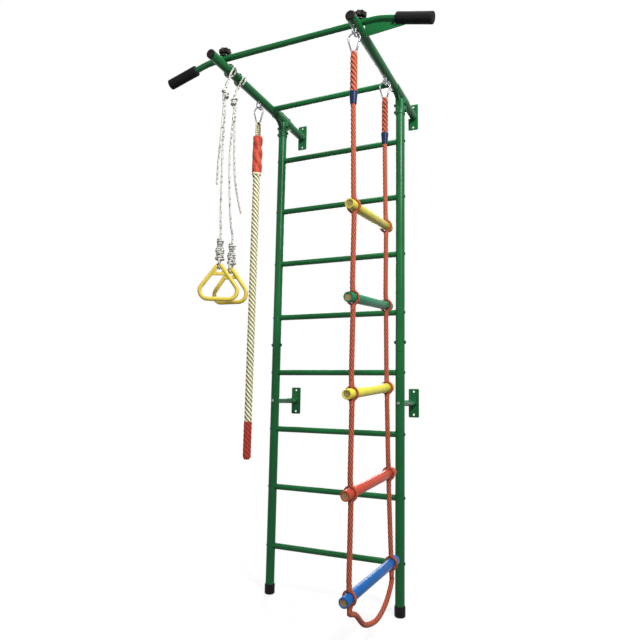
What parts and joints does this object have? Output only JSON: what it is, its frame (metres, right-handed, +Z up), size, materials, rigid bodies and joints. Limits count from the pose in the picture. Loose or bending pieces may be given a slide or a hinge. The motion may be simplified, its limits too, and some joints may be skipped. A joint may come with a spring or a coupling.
{
  "type": "swedish wall bars",
  "caption": "Wall-mounted tube ladder with overhead arms, a pull-up bar with drooping grips, a climbing rope, a rope ladder and a pair of triangular rings on knotted ropes.",
  "frame": {"origin": "on the floor, in the middle of the outline", "axes": "+X from the left upright to the right one, +Y back into the wall, +Z up"},
  "size_m": [1.1274, 0.8094, 2.2273],
  "materials": {
    "green_paint": "satin enamel",
    "bolt_paint": "painted over",
    "black_plastic": "fine grain",
    "grip_foam": "foam skin",
    "steel": "zinc bright",
    "brass": "yellow passivated",
    "red_sleeve": "shrink sleeve",
    "cream_rope": "twisted rope",
    "orange_rope": "twisted rope",
    "white_rope": "braided rope with dark flecks",
    "blue_tape": "binding tape",
    "yellow_plastic": "moulded gloss",
    "rung_yellow": "plastic skin over wood",
    "rung_green": "plastic skin over wood",
    "rung_red": "plastic skin over wood",
    "rung_blue": "plastic skin over wood"
  },
  "bodies": {
    "frame": {"upright_left_lower": "green_paint", "upright_left_upper": "green_paint", "upright_right_lower": "green_paint", "upright_right_upper": "green_paint", "foot_cap_left": "black_plastic", "foot_cap_right": "black_plastic", "joint_bolt_left": "bolt_paint", "joint_bolt_right": "bolt_paint", "rung_1": "green_paint", "rung_2": "green_paint", "rung_3": "green_paint", "rung_4": "green_paint", "rung_5": "green_paint", "rung_6": "green_paint", "rung_7": "green_paint", "rung_8": "green_paint", "arm_left": "green_paint", "arm_right": "green_paint", "arm_cap_left": "black_plastic", "arm_cap_right": "black_plastic", "top_crossbar": "green_paint", "wall_bracket_left": "green_paint", "wall_bracket_right": "green_paint", "bracket_bolt_left": "steel", "bracket_bolt_right": "steel", "tee_clamp_left_inner": "green_paint", "tee_clamp_left_outer": "green_paint", "tee_clamp_right_inner": "green_paint", "tee_clamp_right_outer": "green_paint", "tee_bolt_left_upper": "bolt_paint", "tee_bolt_left_lower": "bolt_paint", "tee_bolt_right_upper": "bolt_paint", "tee_bolt_right_lower": "bolt_paint", "pull_up_bar": "green_paint", "grip_left": "grip_foam", "grip_right": "grip_foam"},
    "knob_left": {"knob_left": "black_plastic"},
    "knob_right": {"knob_right": "black_plastic"},
    "rope_hook": {"hook_rope": "steel"},
    "rope_hook_gate": {"hook_gate_rope": "steel"},
    "climbing_rope": {"rope_thimble": "brass", "rope_sleeve_top": "red_sleeve", "climbing_rope": "cream_rope", "rope_sleeve_bottom": "red_sleeve"},
    "ladder": {"hook_ladder_front": "steel", "hook_ladder_rear": "steel", "ladder_rope": "orange_rope", "ladder_tape_front": "blue_tape", "ladder_tape_rear": "blue_tape", "ladder_rung_1": "rung_yellow", "ladder_rung_2": "rung_green", "ladder_rung_3": "rung_yellow", "ladder_rung_4": "rung_red", "ladder_rung_5": "rung_blue"},
    "ladder_front_gate": {"hook_gate_ladder_front": "steel"},
    "ladder_rear_gate": {"hook_gate_ladder_rear": "steel"},
    "ring_rope_front": {"ring_rope_front": "white_rope"},
    "ring_rope_rear": {"ring_rope_rear": "white_rope"},
    "ring_front": {"ring_front": "yellow_plastic"},
    "ring_rear": {"ring_rear": "yellow_plastic"}
  },
  "joints": [
    {"name": "knob_left_turn", "type": "hinge", "parent": "frame", "child": "knob_left", "pos_m": [-0.291, -0.3043, 2.2], "axis": [0, 0, 1], "continuous": true},
    {"name": "knob_right_turn", "type": "hinge", "parent": "frame", "child": "knob_right", "pos_m": [0.291, -0.3043, 2.2], "axis": [0, 0, 1], "continuous": true},
    {"name": "rope_hook_swing", "type": "hinge", "parent": "frame", "child": "rope_hook", "pos_m": [-0.291, -0.0313, 2.109], "axis": [0, -1, 0], "range_deg": [-45, 18]},
    {"name": "rope_hook_gate_open", "type": "hinge", "parent": "rope_hook", "child": "rope_hook_gate", "pos_m": [-0.28061, -0.0313, 2.04947], "axis": [0, -1, 0], "range_deg": [0, 25], "stiffness_Nm_per_rad": 0.3, "springref_deg": -20.05},
    {"name": "climbing_rope_swing", "type": "hinge", "parent": "rope_hook", "child": "climbing_rope", "pos_m": [-0.291, -0.0313, 2.0355], "axis": [1, 0, 0], "range_deg": [-7, 6]},
    {"name": "ladder_swing", "type": "hinge", "parent": "frame", "child": "ladder", "pos_m": [0.291, -0.1888, 2.109], "axis": [0, -1, 0], "range_deg": [-18, 45]},
    {"name": "ladder_front_gate_open", "type": "hinge", "parent": "ladder", "child": "ladder_front_gate", "pos_m": [0.30139, -0.3603, 2.04947], "axis": [0, -1, 0], "range_deg": [0, 25], "stiffness_Nm_per_rad": 0.3, "springref_deg": -20.05},
    {"name": "ladder_rear_gate_open", "type": "hinge", "parent": "ladder", "child": "ladder_rear_gate", "pos_m": [0.30139, -0.0173, 2.04947], "axis": [0, -1, 0], "range_deg": [0, 25], "stiffness_Nm_per_rad": 0.3, "springref_deg": -20.05},
    {"name": "ring_front_swing", "type": "hinge", "parent": "frame", "child": "ring_rope_front", "pos_m": [-0.291, -0.2633, 2.157], "axis": [0, -1, 0], "range_deg": [-45, 25]},
    {"name": "ring_front_tilt", "type": "hinge", "parent": "ring_rope_front", "child": "ring_front", "pos_m": [-0.291, -0.2813, 1.3435], "axis": [0.8829, 0.4695, 0], "range_deg": [-60, 8]},
    {"name": "ring_rear_swing", "type": "hinge", "parent": "frame", "child": "ring_rope_rear", "pos_m": [-0.291, -0.1893, 2.157], "axis": [0, -1, 0], "range_deg": [-45, 25]},
    {"name": "ring_rear_tilt", "type": "hinge", "parent": "ring_rope_rear", "child": "ring_rear", "pos_m": [-0.291, -0.1993, 1.3435], "axis": [0.9962, 0.0872, 0], "range_deg": [-8, 45]}
  ]
}
